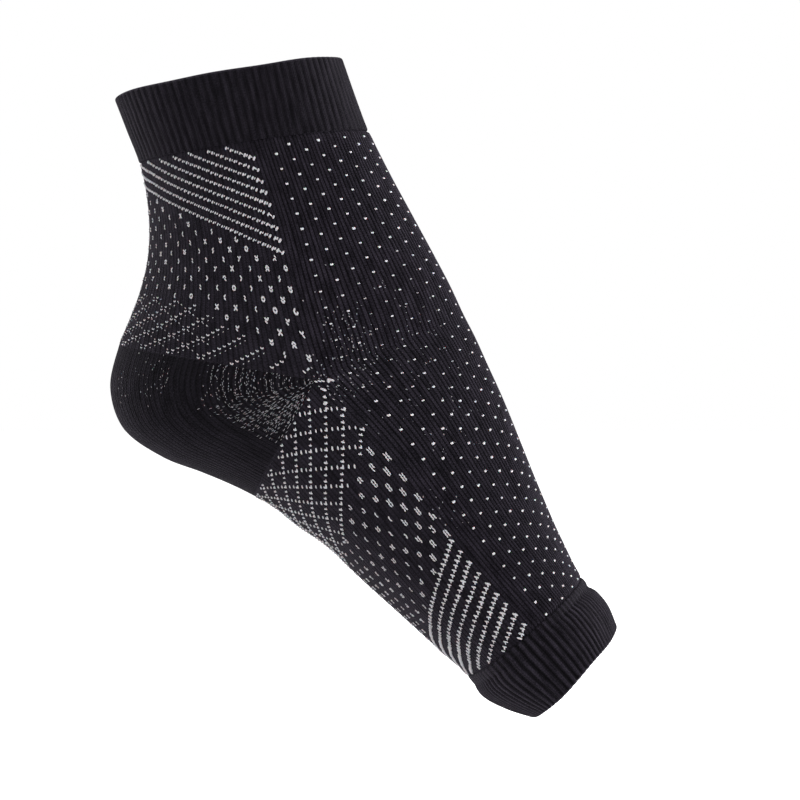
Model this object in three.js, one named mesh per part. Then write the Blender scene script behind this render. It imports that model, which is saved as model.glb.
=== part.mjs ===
// Open-toe compression sock: a knitted sleeve for the ankle and foot, in the form that it has when worn.
// Millimetres, +Z up, +X towards the toes, +Y to the far side. The two sides are mirror images.
// The origin is the ankle point, in the middle plane, level with the place where the heel's short rows meet.
import * as THREE from "three";
import { mergeVertices } from "three/addons/utils/BufferGeometryUtils.js";

// Lengths along the side line, which runs from the cuff's rim through the ankle point to the toe rim
const cuffHeight = 26;
const legLength = 87;
const footLength = 115.5;
const toeBandLength = 24.3;

// Directions of the side line, in degrees: the leg leans back from upright, the foot points down from level
const legLean = 12.9;
const footPitch = 50.5;

// Depths in the middle plane, from the ankle point or from front to back
const legDepth = 84;
const ankleReach = 57.2;
const heelReach = 74.4;
const footDepth = 54.5;

// Widths from side to side
const legWidth = 66;
const ankleWidth = 70;
const footWidth = 87;

// Knitted walls: the tube is one layer, the two ribbed bands are folded double
const wall = 1.2;
const bandWall = 2;
const bandStep = 0.3;
const ribDepth = 0.4;
const ribCount = 84;

// The gap at each seam, the angles between which the heel turns round the ankle point, counted from +X
// through +Z, and how far from that point the heel's own piece starts
const seamGap = 0.3;
const heelTop = 170;
const heelBottom = 240.5;
const heelTip = 3;

// Mesh steps: columns round a quarter of the tube, and rows along each stretch
const quarterColumns = 12;
const legSteps = 8;
const heelSteps = 14;
const footSteps = 10;

/** Rows of a table as objects, one for each row, with the columns' names from its heading. */
function table(heading, rows) {
  const names = heading.split(" ");
  return rows.map((row) => Object.fromEntries(names.map((name, i) => [name, row[i]])));
}

// Sections of the leg, from the ankle up to the cuff: up is a share of legLength, front and back are shares
// of legDepth, half a share of half the legWidth. Rise and fall are the tilts of the front half above level
// and of the back half below level, in degrees. Crown and seat swell the front and the back half: 0 is half
// an ellipse, more is squarer, less is more pointed.
const legRows = table("up front back half rise fall crown seat", [
  [0.17, 0.645, 0.775, 1.06, 21.5, -6, -0.08, -0.04],
  [0.35, 0.601, 0.681, 1.01, 18.5, -2.5, -0.05, -0.1],
  [0.57, 0.547, 0.594, 0.965, 14.5, 2.5, -0.03, -0.1],
  [0.8, 0.49, 0.545, 0.95, 11, 6, 0, -0.05],
  [1, 0.448, 0.537, 0.97, 8.2, 8.2, 0, -0.02],
]);

// Sections of the cuff: up is a share of cuffHeight above the leg, the other columns are as in the leg
const cuffRows = table("up front back half rise fall crown seat", [
  [0.5, 0.426, 0.558, 1, 9, 9, 0, 0],
  [1, 0.408, 0.579, 1.03, 9.9, 9.9, 0, 0],
]);

// Sections of the foot, from the ankle to the toe band: out is a share of footLength, front and back are
// shares of footDepth, half a share of half the footWidth, the other columns are as in the leg
const footRows = table("out front back half rise fall crown seat", [
  [0.1, 1.003, 0.79, 0.805, 27, 57, -0.1, 0.12],
  [0.22, 0.94, 0.733, 0.81, 30, 54, -0.1, 0.15],
  [0.35, 0.874, 0.66, 0.825, 33, 51, -0.08, 0.17],
  [0.52, 0.774, 0.615, 0.86, 36, 48, -0.05, 0.18],
  [0.69, 0.67, 0.563, 0.92, 38.5, 45, 0, 0.18],
  [0.87, 0.567, 0.511, 0.98, 40, 41.5, 0.05, 0.16],
  [1, 0.515, 0.472, 0.99, 40.5, 40.5, 0.08, 0.15],
]);

// Sections of the toe band: out is a share of toeBandLength past the foot, the others are as in the foot
const toeRows = table("out front back half rise fall crown seat", [
  [0.3, 0.532, 0.484, 1.02, 43, 43, 0.1, 0.14],
  [0.66, 0.536, 0.415, 1.015, 45.5, 45.5, 0.1, 0.12],
  [1, 0.492, 0.32, 0.975, 46.3, 46.3, 0.1, 0.1],
]);

// Outline of the heel between its two seams: turn is a share of the heel's angle, reach a share of heelReach,
// seat as in the leg
const heelRows = table("turn reach seat", [
  [0, 0.976, 0],
  [0.17, 1.004, 0.04],
  [0.34, 0.965, 0.07],
  [0.51, 0.836, 0.1],
  [0.68, 0.714, 0.1],
  [0.85, 0.652, 0.1],
  [1, 0.634, 0.11],
]);

// Outline of a folded band's wall, once round: along is a share of the band's length, depth a share of
// bandWall, rib a share of ribDepth
const bandProfile = table("along depth rib", [
  [0, 0.3, 0],
  [0.05, 0, 1],
  [0.5, 0, 1],
  [0.93, 0, 1],
  [1, 0.45, 0.5],
  [0.94, 1, 0],
  [0.5, 1, 0],
  [0, 1, 0],
]);

const radians = THREE.MathUtils.degToRad;
const heelArc = radians(heelBottom - heelTop) * heelReach;

/** A unit vector in the middle plane, x and z, at an angle counted from +X through +Z. */
function direction(degrees) {
  return new THREE.Vector2(Math.cos(radians(degrees)), Math.sin(radians(degrees)));
}

/** The side line's point at a place: negative places go up the leg, positive ones out along the foot. */
function sideLine(place) {
  const way = place < 0 ? direction(90 + legLean) : direction(-footPitch);
  return way.multiplyScalar(Math.abs(place));
}

/** A section as three points of the middle plane, with its half width and the fullness of its halves. */
function section(place, row, depth, width) {
  const side = sideLine(place);
  return {
    place,
    front: direction(row.rise).multiplyScalar(row.front * depth).add(side),
    back: direction(180 + row.fall).multiplyScalar(row.back * depth).add(side),
    half: (row.half * width) / 2,
    crown: row.crown,
    seat: row.seat,
  };
}

const upperSections = [
  ...cuffRows.map((row) => section(-legLength - row.up * cuffHeight, row, legDepth, legWidth)).reverse(),
  ...legRows.map((row) => section(-row.up * legLength, row, legDepth, legWidth)).reverse(),
];
const lowerSections = [
  ...footRows.map((row) => section(row.out * footLength, row, footDepth, footWidth)),
  ...toeRows.map((row) => section(footLength + row.out * toeBandLength, row, footDepth, footWidth)),
];
const ankleRise = (legRows[0].rise + footRows[0].rise) / 2;
const ankleCrown = (legRows[0].crown + footRows[0].crown) / 2;
const ankleFront = direction(ankleRise).multiplyScalar(ankleReach);
const heelSections = heelRows.map((row) => ({
  course: row.turn * heelArc,
  back: direction(THREE.MathUtils.lerp(heelTop, heelBottom, row.turn)).multiplyScalar(row.reach * heelReach),
  seat: row.seat,
}));

/** A smooth function through values at rising places: a cubic on each stretch, sloped by both neighbours. */
function smooth(places, values) {
  const last = places.length - 1;
  const step = (i) => (values[i + 1] - values[i]) / (places[i + 1] - places[i]);
  const slopes = values.map((value, i) => {
    if (i === 0) return step(0);
    if (i === last) return step(last - 1);
    const before = places[i] - places[i - 1];
    const after = places[i + 1] - places[i];
    return (step(i - 1) * after + step(i) * before) / (before + after);
  });
  return (place) => {
    let i = 0;
    while (i < last - 1 && place > places[i + 1]) i += 1;
    const width = places[i + 1] - places[i];
    const t = (place - places[i]) / width;
    const rise = values[i + 1] - values[i];
    const first = slopes[i] * width;
    const final = slopes[i + 1] * width;
    const square = 3 * rise - 2 * first - final;
    const cube = first + final - 2 * rise;
    return values[i] + first * t + square * t ** 2 + cube * t ** 3;
  };
}

/** Smooth functions of the place for each named column of values. */
function smoothColumns(places, columns) {
  return Object.fromEntries(Object.entries(columns).map(([name, values]) => [name, smooth(places, values)]));
}

const frontSections = [
  ...upperSections,
  { place: 0, front: ankleFront, half: ankleWidth / 2, crown: ankleCrown },
  ...lowerSections,
];
const front = smoothColumns(frontSections.map((s) => s.place), {
  x: frontSections.map((s) => s.front.x),
  z: frontSections.map((s) => s.front.y),
  half: frontSections.map((s) => s.half),
  full: frontSections.map((s) => s.crown),
});

// The back line has its own course: the leg's place, then the heel's arc, then the foot's place past that arc
const backSections = [
  ...upperSections.map((s) => ({ course: s.place, back: s.back, seat: s.seat })),
  ...heelSections,
  ...lowerSections.map((s) => ({ course: heelArc + s.place, back: s.back, seat: s.seat })),
];
const back = smoothColumns(backSections.map((s) => s.course), {
  x: backSections.map((s) => s.back.x),
  z: backSections.map((s) => s.back.y),
  full: backSections.map((s) => s.seat),
});

const quarterSamples = 48;

/**
 * A quarter of a section, from its side to its front or back: reach * sin along the depth and, across,
 * half * cos swelled by full * sin squared. The share counts equal lengths of the curve, as its stitches do.
 */
function quarter(reach, half, full, share) {
  const along = [];
  const across = [];
  const length = [0];
  for (let i = 0; i <= quarterSamples; i += 1) {
    const angle = (i / quarterSamples) * (Math.PI / 2);
    along.push(reach * Math.sin(angle));
    across.push(half * Math.cos(angle) * (1 + full * Math.sin(angle) ** 2));
    if (i > 0) length.push(length[i - 1] + Math.hypot(along[i] - along[i - 1], across[i] - across[i - 1]));
  }
  const wanted = share * length[quarterSamples];
  let i = 0;
  while (i < quarterSamples - 1 && length[i + 1] < wanted) i += 1;
  const t = (wanted - length[i]) / (length[i + 1] - length[i]);
  return [THREE.MathUtils.lerp(along[i], along[i + 1], t), THREE.MathUtils.lerp(across[i], across[i + 1], t)];
}

/** The point on the side line where a back course starts: all of the heel's courses start at the ankle. */
function backStart(course) {
  if (course < 0) return sideLine(course);
  return sideLine(Math.max(0, course - heelArc));
}

/** A point of the outer skin. Quarters count from the front: 1 is the near side, 2 the back, 3 the far one. */
function skin(place, course, quarters) {
  const turn = (quarters + 4) % 4;
  const isFront = turn <= 1 || turn >= 3;
  const share = isFront ? Math.abs(2 - turn) - 1 : 1 - Math.abs(2 - turn);
  const half = front.half(place);
  const start = isFront ? sideLine(place) : backStart(course);
  const end = isFront
    ? new THREE.Vector2(front.x(place), front.z(place))
    : new THREE.Vector2(back.x(course), back.z(course));
  const full = isFront ? front.full(place) : back.full(course);
  const reach = end.clone().sub(start);
  const [along, across] = quarter(reach.length(), half, full, share);
  const flat = reach.setLength(along).add(start);
  return new THREE.Vector3(flat.x, turn < 2 ? -across : across, flat.y);
}

/** The stretches of the tube: how a place along each one gives the front's place and the back's course. */
const stretches = {
  leg: (place) => [place, place],
  heel: (course) => [0, course],
  foot: (place) => [place, heelArc + place],
};

// Small steps along and round the surface for its slopes, and the distance within which points are one
const slopeStep = 0.4;
const turnStep = 0.01;
const sameDistance = 1e-3;

/** A point below the skin: the skin's point, moved inwards along the surface's own normal. */
function below(stretch, place, quarters, depth) {
  const at = (p, q) => skin(...stretches[stretch](p), q);
  const point = at(place, quarters);
  const isAnkle = Math.hypot(point.x, point.z) < sameDistance;
  const along = at(place + slopeStep, quarters).sub(at(place - slopeStep, quarters));
  const round = at(place, quarters + turnStep).sub(at(place, quarters - turnStep));
  const inward = isAnkle ? new THREE.Vector3(0, -Math.sign(point.y), 0) : along.cross(round).normalize();
  return point.addScaledVector(inward, depth);
}

/** A closed body from a list of corners and the outward triangles between them. */
function solid(name, corners, triangles, material) {
  const geometry = new THREE.BufferGeometry();
  geometry.setAttribute("position", new THREE.Float32BufferAttribute(corners.flatMap((c) => c.toArray()), 3));
  geometry.setIndex(triangles.flat());
  const merged = mergeVertices(geometry, sameDistance);
  merged.computeVertexNormals();
  const mesh = new THREE.Mesh(merged, material);
  mesh.name = name;
  return mesh;
}

/** Two triangles for each square of a grid of rows and columns, numbered from a first corner. */
function gridTriangles(rows, columns, first) {
  const triangles = [];
  for (let r = 0; r < rows - 1; r += 1) {
    for (let c = 0; c < columns - 1; c += 1) {
      const a = first + r * columns + c;
      triangles.push([a, a + 1, a + columns], [a + 1, a + columns + 1, a + columns]);
    }
  }
  return triangles;
}

/** Joins grids of paired outer and inner points into one wall, and closes it along every open edge. */
function walled(name, grids, material) {
  const outer = [];
  const inner = [];
  const faces = [];
  for (const grid of grids) {
    faces.push(...gridTriangles(grid.length, grid[0].length, outer.length));
    for (const [skinPoint, liningPoint] of grid.flat()) {
      outer.push(skinPoint);
      inner.push(liningPoint);
    }
  }
  const key = (point) => point.toArray().map((n) => Math.round(n / sameDistance)).join();
  const keys = outer.map(key);
  const used = new Set();
  for (const [a, b, c] of faces) {
    for (const [from, to] of [[a, b], [b, c], [c, a]]) used.add(`${keys[from]}>${keys[to]}`);
  }
  const shift = outer.length;
  const lining = faces.map(([a, b, c]) => [a + shift, c + shift, b + shift]);
  const edges = [];
  for (const [a, b, c] of faces) {
    for (const [from, to] of [[a, b], [b, c], [c, a]]) {
      if (used.has(`${keys[to]}>${keys[from]}`)) continue;
      edges.push([to, from, from + shift], [to, from + shift, to + shift]);
    }
  }
  return solid(name, [...outer, ...inner], [...faces, ...lining, ...edges], material);
}

/** Evenly spaced values from one number to another, both included. */
function spread(from, to, steps) {
  return Array.from({ length: steps + 1 }, (_, i) => THREE.MathUtils.lerp(from, to, i / steps));
}

/** One grid of the tube's wall, over places and quarter turns. */
function wallGrid(stretch, places, turns) {
  const pair = (place, quarters) => [0, wall].map((depth) => below(stretch, place, quarters, depth));
  return places.map((place) => turns.map((quarters) => pair(place, quarters)));
}

/** The sleeve: the leg's tube and the foot's tube, joined over the instep and open for the heel. */
function makeSleeve(material) {
  const turns = spread(0, 4, 4 * quarterColumns);
  const leg = wallGrid("leg", spread(-legLength + seamGap, 0, legSteps), turns);
  const foot = wallGrid("foot", spread(0, footLength - seamGap, footSteps), turns);
  return walled("sleeve", [leg, foot], material);
}

/** The heel pocket: a cup of short rows that turn round the ankle point, set in from its seams by the gap. */
function makeHeelPocket(material) {
  const tip = heelTip / heelReach;
  const turns = spread(1 + tip, 3 - tip, 2 * quarterColumns);
  const inset = (quarters) => {
    const reach = skin(0, heelArc / 2, quarters).setY(0).length();
    return (seamGap * heelReach) / reach;
  };
  const grid = spread(0, 1, heelSteps).map((share) =>
    turns.map((q) => {
      const course = THREE.MathUtils.lerp(inset(q), heelArc - inset(q), share);
      return [below("heel", course, q, 0), below("heel", course, q, wall)];
    }),
  );
  return walled("heel_pocket", [grid], material);
}

/** A ribbed band, folded double: its wall's profile carried round the tube, a crest and a groove a rib. */
function makeBand(name, stretch, start, length, material) {
  const columns = 2 * ribCount;
  const corners = [];
  for (const row of bandProfile) {
    for (let c = 0; c < columns; c += 1) {
      const groove = c % 2 === 0 ? 0 : row.rib * ribDepth;
      const depth = row.depth * bandWall - bandStep + groove;
      corners.push(below(stretch, start + row.along * length, (4 * c) / columns, depth));
    }
  }
  const triangles = [];
  const rows = bandProfile.length;
  for (let r = 0; r < rows; r += 1) {
    for (let c = 0; c < columns; c += 1) {
      const a = r * columns + c;
      const b = r * columns + ((c + 1) % columns);
      const d = ((r + 1) % rows) * columns + c;
      const e = ((r + 1) % rows) * columns + ((c + 1) % columns);
      triangles.push(length > 0 ? [a, b, d] : [a, d, b], length > 0 ? [b, e, d] : [b, d, e]);
    }
  }
  return solid(name, corners, triangles, material);
}

const blackKnit = new THREE.MeshStandardMaterial({ color: 0x17171b, roughness: 0.9, metalness: 0 });
const blackHeel = new THREE.MeshStandardMaterial({ color: 0x141417, roughness: 0.88, metalness: 0 });
const blackRib = new THREE.MeshStandardMaterial({ color: 0x1b1a1f, roughness: 0.85, metalness: 0 });

const sock = new THREE.Group();
sock.add(
  makeBand("ankle_cuff", "leg", -legLength, -cuffHeight, blackRib),
  makeSleeve(blackKnit),
  makeHeelPocket(blackHeel),
  makeBand("toe_band", "foot", footLength, toeBandLength, blackRib),
);

export default sock;
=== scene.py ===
# %% [markdown]
# # An open-toe compression sock, dressed in its knit
# The sock is one knitted tube in the form that it has when worn: a ribbed cuff, a leg and a foot in fine
# knit, a turned heel and a ribbed band round the open toe end. White yarn is knitted in as dots, dashes,
# stripes and a diamond net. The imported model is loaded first, as the fixed frame that the looks follow.

# %% Load the frame
import math
import bpy
import numpy as np
from mathutils import Matrix, Vector


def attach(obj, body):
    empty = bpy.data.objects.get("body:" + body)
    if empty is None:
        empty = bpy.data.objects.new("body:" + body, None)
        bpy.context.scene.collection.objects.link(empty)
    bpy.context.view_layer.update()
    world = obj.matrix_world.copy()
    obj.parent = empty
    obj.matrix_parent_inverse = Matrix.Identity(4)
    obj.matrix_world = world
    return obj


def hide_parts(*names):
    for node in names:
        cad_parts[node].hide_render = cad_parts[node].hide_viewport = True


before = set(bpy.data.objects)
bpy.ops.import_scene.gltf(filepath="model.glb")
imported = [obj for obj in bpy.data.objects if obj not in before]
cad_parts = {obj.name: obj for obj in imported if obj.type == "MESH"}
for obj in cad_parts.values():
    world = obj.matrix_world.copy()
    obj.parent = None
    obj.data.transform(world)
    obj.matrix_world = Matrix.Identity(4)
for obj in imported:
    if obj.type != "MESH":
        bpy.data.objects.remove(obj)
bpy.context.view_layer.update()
print("solids in the frame:", ", ".join(sorted(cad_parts)))

# %% [markdown]
# ## The tube as one formula
# A knitted tube has no flat panels to model, so its skin is worked out from sections. Each section is two
# half ovals that meet at the sides. The side line runs from the cuff's rim down to the ankle point and out
# to the toe rim, and every section hangs on it. Tables give the sections as shares of a few real sizes.

# %% Driving sizes, in metres and degrees
CUFF, LEG, FOOT, TOE_BAND = 0.026, 0.087, 0.1155, 0.0243
LEG_LEAN, FOOT_PITCH = 12.9, 50.5
LEG_DEPTH, ANKLE_REACH, HEEL_REACH, FOOT_DEPTH = 0.084, 0.0572, 0.0744, 0.0545
LEG_WIDTH, ANKLE_WIDTH, FOOT_WIDTH = 0.066, 0.070, 0.087
HEEL_TOP, HEEL_BOTTOM = 170.0, 240.5
HEEL_ARC = math.radians(HEEL_BOTTOM - HEEL_TOP) * HEEL_REACH
WALL = 0.0012
print(f"cuff and leg: {(CUFF + LEG) * 1000:.1f} mm, foot and toe band: {(FOOT + TOE_BAND) * 1000:.1f} mm")


# %% Section tables: shares of the sizes above, tilts in degrees, crown and seat as fullness
def table(heading, rows):
    """The columns of a table as arrays, under the names in its heading."""
    return dict(zip(heading.split(), np.array(rows, float).T))


leg_rows = table("at front back half rise fall crown seat", [
    (0.17, 0.645, 0.775, 1.06, 21.5, -6, -0.08, -0.04),
    (0.35, 0.601, 0.681, 1.01, 18.5, -2.5, -0.05, -0.1),
    (0.57, 0.547, 0.594, 0.965, 14.5, 2.5, -0.03, -0.1),
    (0.8, 0.49, 0.545, 0.95, 11, 6, 0, -0.05),
    (1, 0.448, 0.537, 0.97, 8.2, 8.2, 0, -0.02),
])
cuff_rows = table("at front back half rise fall crown seat", [
    (0.5, 0.426, 0.558, 1, 9, 9, 0, 0),
    (1, 0.408, 0.579, 1.03, 9.9, 9.9, 0, 0),
])
foot_rows = table("at front back half rise fall crown seat", [
    (0.1, 1.003, 0.79, 0.805, 27, 57, -0.1, 0.12),
    (0.22, 0.94, 0.733, 0.81, 30, 54, -0.1, 0.15),
    (0.35, 0.874, 0.66, 0.825, 33, 51, -0.08, 0.17),
    (0.52, 0.774, 0.615, 0.86, 36, 48, -0.05, 0.18),
    (0.69, 0.67, 0.563, 0.92, 38.5, 45, 0, 0.18),
    (0.87, 0.567, 0.511, 0.98, 40, 41.5, 0.05, 0.16),
    (1, 0.515, 0.472, 0.99, 40.5, 40.5, 0.08, 0.15),
])
toe_rows = table("at front back half rise fall crown seat", [
    (0.3, 0.532, 0.484, 1.02, 43, 43, 0.1, 0.14),
    (0.66, 0.536, 0.415, 1.015, 45.5, 45.5, 0.1, 0.12),
    (1, 0.492, 0.32, 0.975, 46.3, 46.3, 0.1, 0.1),
])
heel_rows = table("turn reach seat", [
    (0, 0.976, 0), (0.17, 1.004, 0.04), (0.34, 0.965, 0.07), (0.51, 0.836, 0.1),
    (0.68, 0.714, 0.1), (0.85, 0.652, 0.1), (1, 0.634, 0.11),
])
tables = (cuff_rows, leg_rows, foot_rows, toe_rows)
print("rows in the section tables:", [len(rows["at"]) for rows in tables], "and heel", len(heel_rows["turn"]))


# %% From the tables to points along the tube
def direction(degrees):
    """Unit vectors in the middle plane, as x and z, at angles counted from +X through +Z."""
    angle = np.radians(degrees)
    return np.stack([np.cos(angle), np.sin(angle)], axis=-1)


def side_line(place):
    """Points of the side line: a straight line up the leg for places below 0, down the foot above 0."""
    place = np.asarray(place, float)[..., None]
    return np.where(place < 0, direction(90 + LEG_LEAN), direction(-FOOT_PITCH)) * np.abs(place)


def sections(rows, start, length, depth, width):
    """Places, front and back points, half widths and fullness of a table's sections, as columns."""
    place = start + rows["at"] * length
    front = side_line(place) + direction(rows["rise"]) * (rows["front"] * depth)[:, None]
    back = side_line(place) + direction(180 + rows["fall"]) * (rows["back"] * depth)[:, None]
    half = rows["half"] * width / 2
    return np.column_stack([place, front, half, rows["crown"], back, rows["seat"]])


above = np.vstack([sections(cuff_rows, -LEG, -CUFF, LEG_DEPTH, LEG_WIDTH)[::-1],
                   sections(leg_rows, 0, -LEG, LEG_DEPTH, LEG_WIDTH)[::-1]])
beyond = np.vstack([sections(foot_rows, 0, FOOT, FOOT_DEPTH, FOOT_WIDTH),
                    sections(toe_rows, FOOT, TOE_BAND, FOOT_DEPTH, FOOT_WIDTH)])
ankle_front = direction((leg_rows["rise"][0] + foot_rows["rise"][0]) / 2) * ANKLE_REACH
ankle_crown = (leg_rows["crown"][0] + foot_rows["crown"][0]) / 2
front_curve = np.vstack([above[:, :5], [0, *ankle_front, ANKLE_WIDTH / 2, ankle_crown], beyond[:, :5]])

heel_turns = HEEL_TOP + heel_rows["turn"] * (HEEL_BOTTOM - HEEL_TOP)
heel_points = direction(heel_turns) * (heel_rows["reach"] * HEEL_REACH)[:, None]
heel_part = np.column_stack([heel_rows["turn"] * HEEL_ARC, heel_points, heel_rows["seat"]])
back_curve = np.vstack([above[:, [0, 5, 6, 7]], heel_part, beyond[:, [0, 5, 6, 7]] + [HEEL_ARC, 0, 0, 0]])
print(f"sections: {len(front_curve)} along the front, {len(back_curve)} along the back")


# %% Smooth curves through a table
def cubic(start, rise, first, last, t):
    """A cubic at shares t of its way: it starts at start, gains rise, and has slopes first and last."""
    return start + first * t + (3 * rise - 2 * first - last) * t**2 + (first + last - 2 * rise) * t**3


def smooth(rows, at):
    """A cubic through the rows of a table between its first column's values, sloped by both neighbours."""
    x, y = rows[:, 0], rows[:, 1:]
    width = np.diff(x)[:, None]
    step = np.diff(y, axis=0) / width
    inner = (step[:-1] * width[1:] + step[1:] * width[:-1]) / (width[:-1] + width[1:])
    slope = np.vstack([step[:1], inner, step[-1:]])
    i = np.clip(np.searchsorted(x, at) - 1, 0, len(x) - 2)
    t = ((at - x[i]) / width[i, 0])[..., None]
    return cubic(y[i], y[i + 1] - y[i], slope[i] * width[i], slope[i + 1] * width[i], t)


print(f"half width in the middle of the leg: {smooth(front_curve, np.array(-LEG / 2))[2] * 1000:.1f} mm")


# %% The skin of the tube
def half_oval(angle, reach, half, full):
    """A quarter of a section: reach times sine along its depth, half times cosine, swelled, across."""
    return reach * np.sin(angle), half * np.cos(angle) * (1 + full * np.sin(angle) ** 2)


OVAL_ANGLES = np.linspace(0, np.pi / 2, 33)


def skin(place, course, quarters):
    """Points of the outer skin. Quarter turns count from the front centre: 1 is the near side, 2 the back.
    Equal shares of a quarter are equal lengths of its oval, as the stitches of a knitted row are."""
    place, course, quarters = np.broadcast_arrays(place, course, quarters)
    turn = quarters % 4
    is_front = (turn <= 1) | (turn >= 3)
    share = np.abs(1 - np.abs(2 - turn))
    front_x, front_z, half, crown = np.moveaxis(smooth(front_curve, place), -1, 0)
    back_x, back_z, seat = np.moveaxis(smooth(back_curve, course), -1, 0)
    back_place = np.where(course < 0, course, np.maximum(0, course - HEEL_ARC))
    start = side_line(np.where(is_front, place, back_place))
    end = np.stack([np.where(is_front, front_x, back_x), np.where(is_front, front_z, back_z)], axis=-1)
    full = np.where(is_front, crown, seat)
    reach = np.linalg.norm(end - start, axis=-1)
    along, across = half_oval(OVAL_ANGLES, reach[..., None], half[..., None], full[..., None])
    steps = np.hypot(np.diff(along), np.diff(across))
    length = np.concatenate([np.zeros(steps.shape[:-1] + (1,)), np.cumsum(steps, axis=-1)], axis=-1)
    wanted = share * length[..., -1]
    i = np.clip((length[..., 1:] < wanted[..., None]).sum(axis=-1), 0, len(OVAL_ANGLES) - 2)[..., None]
    low, high = np.take_along_axis(length, i, -1)[..., 0], np.take_along_axis(length, i + 1, -1)[..., 0]
    angle = OVAL_ANGLES[i[..., 0]] + (wanted - low) / (high - low) * OVAL_ANGLES[1]
    along, across = half_oval(angle, reach, half, full)
    flat = start + (end - start) / np.maximum(reach, 1e-9)[..., None] * along[..., None]
    return np.stack([flat[..., 0], np.where(turn < 2, -across, across), flat[..., 1]], axis=-1)


print(f"front of the ankle at x = {skin(0.0, 0.0, 0.0)[0] * 1000:.1f} mm")

# %% The three stretches of the skin, and which way is out
STEP_ALONG, STEP_ROUND = 0.0004, 0.01


def stretch_skin(stretch, place, quarters):
    """Skin points of one stretch: the leg, the heel, whose place is its own course, or the foot."""
    place = np.asarray(place, float)
    if stretch == "heel":
        return skin(np.zeros_like(place), place, quarters)
    return skin(place, place + (HEEL_ARC if stretch == "foot" else 0), quarters)


def outward(stretch, place, quarters):
    """Unit normals of the skin: the cross product of small steps along the tube and round it."""
    further, nearer = (stretch_skin(stretch, place + step, quarters) for step in (STEP_ALONG, -STEP_ALONG))
    right, left = (stretch_skin(stretch, place, quarters + step) for step in (STEP_ROUND, -STEP_ROUND))
    normal = np.cross(right - left, further - nearer)
    return normal / np.maximum(np.linalg.norm(normal, axis=-1, keepdims=True), 1e-12)


print("out at the side of the leg:", outward("leg", -LEG / 2, 1.0).round(2))

# %% [markdown]
# ## The knit's own coordinates
# Knitting is a lattice: wales are the columns of stitches and courses are the rows. Everything that shows
# on this sock follows them, so they are the coordinates for the ribs, the stitch relief and the white yarn.
# The knit has 168 wales round, and the foot that wears it pulls them a little. Plain angles round the tube
# would miss that, so two short tables say by how much, and a pattern can then be charted in whole stitches,
# as on a knitter's squared paper.

# %% Wales
WALES = 168
SIDE_WALE, BACK_WALE = 42, 84

# Places along the tube, and how far, in wales, the stretched knit shifts the 20th, the side's and the 62nd
# wale away from the front there
DRIFT_WALES = np.array([0, 20, SIDE_WALE, 62, BACK_WALE], float)
drift_rows = np.array([
    (-0.087, 2.4, 3.2, 2.0),
    (-0.057, 1.0, 1.2, 0.9),
    (-0.027, -0.8, 0.9, 0.8),
    (0, -1.7, 0, 0.6),
    (0.035, -1.5, -1.5, 1.2),
    (0.060, -0.4, -1.0, 1.4),
    (0.090, 0.6, -1.0, 1.5),
    (0.1155, -0.6, -1.8, 1.0),
    (0.1350, 0.2, -2.4, -0.9),
])


def at_index(values, i):
    """From the last axis of an array, the value at an index of its own for each point."""
    return np.take_along_axis(values, i[..., None], -1)[..., 0]


def wale_turn(place, wale):
    """Quarter turns of the wales at the given places: wale number plus drift, over a quarter's wales."""
    place, wale = np.broadcast_arrays(np.asarray(place, float), np.asarray(wale, float))
    near = wale % WALES
    mirrored = near > BACK_WALE
    number = np.where(mirrored, WALES - near, near)
    inside = np.clip(place, drift_rows[0, 0], drift_rows[-1, 0])
    knots = np.zeros(number.shape + DRIFT_WALES.shape)
    knots[..., 1:-1] = smooth(drift_rows, inside)
    slopes = np.gradient(knots, DRIFT_WALES, axis=-1)
    i = np.clip(np.searchsorted(DRIFT_WALES, number) - 1, 0, len(DRIFT_WALES) - 2)
    span = DRIFT_WALES[i + 1] - DRIFT_WALES[i]
    start = at_index(knots, i)
    rise = at_index(knots, i + 1) - start
    first, last = at_index(slopes, i) * span, at_index(slopes, i + 1) * span
    quarters = (number + cubic(start, rise, first, last, (number - DRIFT_WALES[i]) / span)) / SIDE_WALE
    return np.where(mirrored, 4 - quarters, quarters)


print(f"the side wale at the toe band: {wale_turn(FOOT, SIDE_WALE):.3f} quarter turns")

# %% Courses
COURSE_STEP = 0.00105

# Where each course lies, in metres below the cuff along the side line, and how much further down it lies
# at the front's centre (lead) and at the back's (trail)
course_rows = np.array([
    (0, 0.0060, 0, 0),
    (30, 0.0333, 0.0031, 0),
    (60, 0.0624, 0.0061, 0),
    (78, 0.0813, 0.0064, 0),
    (90, 0.0950, 0.0066, -0.0015),
    (108, 0.1162, 0.0049, -0.0043),
    (126, 0.1369, 0.0029, -0.0058),
    (156, 0.1671, 0.0015, -0.0040),
    (186, 0.1958, -0.0009, -0.0015),
    (193, 0.2025, -0.0010, -0.0010),
])


def course_place(course, wale):
    """Places of the courses at the given wales: the side line's place, with its lead or trail swelled in."""
    number = np.asarray(wale, float) % WALES
    number = np.minimum(number, WALES - number)
    side, lead, trail = np.moveaxis(smooth(course_rows, np.asarray(course, float)), -1, 0)
    front_share = np.where(number < SIDE_WALE, 1 - (number / SIDE_WALE) ** 2, 0)
    back_share = np.where(number > SIDE_WALE, 1 - ((BACK_WALE - number) / SIDE_WALE) ** 2, 0)
    return side + lead * front_share + trail * back_share - LEG


def place_course(place, wale):
    """The course at each place: the course tables read backwards, by three rounds of correction."""
    course = np.interp(place + LEG, course_rows[:, 1], course_rows[:, 0])
    for _ in range(3):
        miss = place - course_place(course, wale)
        course = course + miss / COURSE_STEP
    return course


print(f"courses from cuff to toe band: {place_course(np.array(FOOT), np.array(float(SIDE_WALE))):.0f}")

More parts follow.
